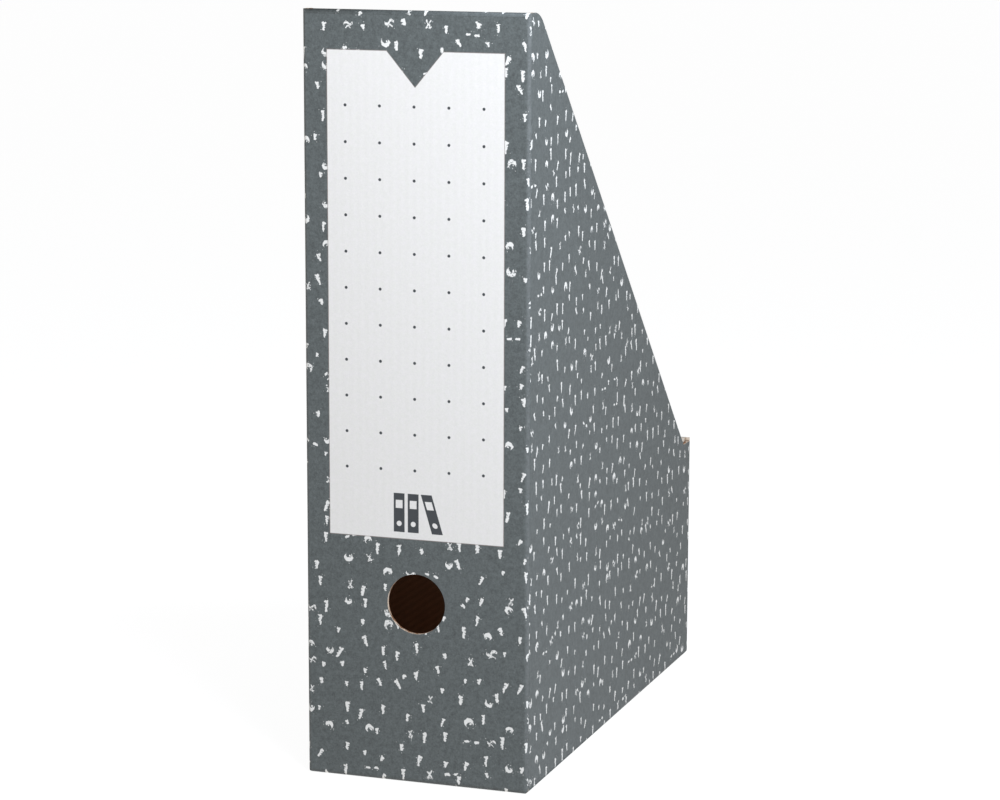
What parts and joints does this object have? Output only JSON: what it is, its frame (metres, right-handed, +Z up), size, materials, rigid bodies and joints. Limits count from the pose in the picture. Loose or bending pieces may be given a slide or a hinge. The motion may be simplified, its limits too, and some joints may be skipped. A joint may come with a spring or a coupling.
{
  "type": "magazine file holder",
  "caption": "Tall open-top corrugated board magazine file with a sloping cut on both sides, a finger hole in the spine and roll-over end walls.",
  "frame": {"origin": "centre of the footprint, on the surface that the holder stands on", "axes": "+Z up, -Y out of the tall spine with the finger hole, +X to the right seen from in front of the spine"},
  "size_m": [0.098, 0.245, 0.322],
  "materials": {
    "printed_paper": "matte print, grey with white flecks",
    "kraft_paper": "uncoated kraft",
    "fluting_paper": "uncoated recycled fluting",
    "folded_board": "creased board, printed outside"
  },
  "bodies": {
    "tray": {"base_printed_liner": "printed_paper", "base_fluting": "fluting_paper", "base_kraft_liner": "kraft_paper", "spine_printed_liner": "printed_paper", "spine_fluting": "fluting_paper", "spine_kraft_liner": "kraft_paper", "low_end_printed_liner": "printed_paper", "low_end_fluting": "fluting_paper", "low_end_kraft_liner": "kraft_paper", "left_side_bottom_fold": "folded_board", "right_side_bottom_fold": "folded_board", "spine_bottom_fold": "folded_board", "low_end_bottom_fold": "folded_board", "spine_top_fold": "folded_board", "low_end_top_fold": "folded_board", "spine_left_edge": "printed_paper", "spine_right_edge": "printed_paper", "low_end_left_edge": "printed_paper", "low_end_right_edge": "printed_paper"},
    "left_side": {"left_side_printed_liner": "printed_paper", "left_side_fluting": "fluting_paper", "left_side_kraft_liner": "kraft_paper", "left_tall_flap_printed_liner": "printed_paper", "left_tall_flap_fluting": "fluting_paper", "left_tall_flap_kraft_liner": "kraft_paper", "left_short_flap_printed_liner": "printed_paper", "left_short_flap_fluting": "fluting_paper", "left_short_flap_kraft_liner": "kraft_paper", "left_tall_flap_fold": "folded_board", "left_short_flap_fold": "folded_board"},
    "right_side": {"right_side_printed_liner": "printed_paper", "right_side_fluting": "fluting_paper", "right_side_kraft_liner": "kraft_paper", "right_tall_flap_printed_liner": "printed_paper", "right_tall_flap_fluting": "fluting_paper", "right_tall_flap_kraft_liner": "kraft_paper", "right_short_flap_printed_liner": "printed_paper", "right_short_flap_fluting": "fluting_paper", "right_short_flap_kraft_liner": "kraft_paper", "right_tall_flap_fold": "folded_board", "right_short_flap_fold": "folded_board"},
    "spine_roll": {"spine_roll_fold": "folded_board"},
    "spine_lining": {"spine_lining_printed_liner": "printed_paper", "spine_lining_fluting": "fluting_paper", "spine_lining_kraft_liner": "kraft_paper"},
    "low_end_roll": {"low_end_roll_fold": "folded_board"},
    "low_end_lining": {"low_end_lining_printed_liner": "printed_paper", "low_end_lining_fluting": "fluting_paper", "low_end_lining_kraft_liner": "kraft_paper"}
  },
  "joints": [
    {"name": "left_side_opening", "type": "hinge", "parent": "tray", "child": "left_side", "pos_m": [-0.049, 0, 0], "axis": [0, -1, 0], "range_deg": [0, 90]},
    {"name": "right_side_opening", "type": "hinge", "parent": "tray", "child": "right_side", "pos_m": [0.049, 0, 0], "axis": [0, 1, 0], "range_deg": [0, 90]},
    {"name": "spine_roll_opening", "type": "hinge", "parent": "tray", "child": "spine_roll", "pos_m": [0, -0.1225, 0.322], "axis": [1, 0, 0], "range_deg": [0, 90]},
    {"name": "spine_lining_opening", "type": "hinge", "parent": "spine_roll", "child": "spine_lining", "pos_m": [0, -0.1175, 0.322], "axis": [1, 0, 0], "range_deg": [0, 90]},
    {"name": "low_end_roll_opening", "type": "hinge", "parent": "tray", "child": "low_end_roll", "pos_m": [0, 0.1225, 0.107], "axis": [-1, 0, 0], "range_deg": [0, 90]},
    {"name": "low_end_lining_opening", "type": "hinge", "parent": "low_end_roll", "child": "low_end_lining", "pos_m": [0, 0.1175, 0.107], "axis": [-1, 0, 0], "range_deg": [0, 90]}
  ]
}
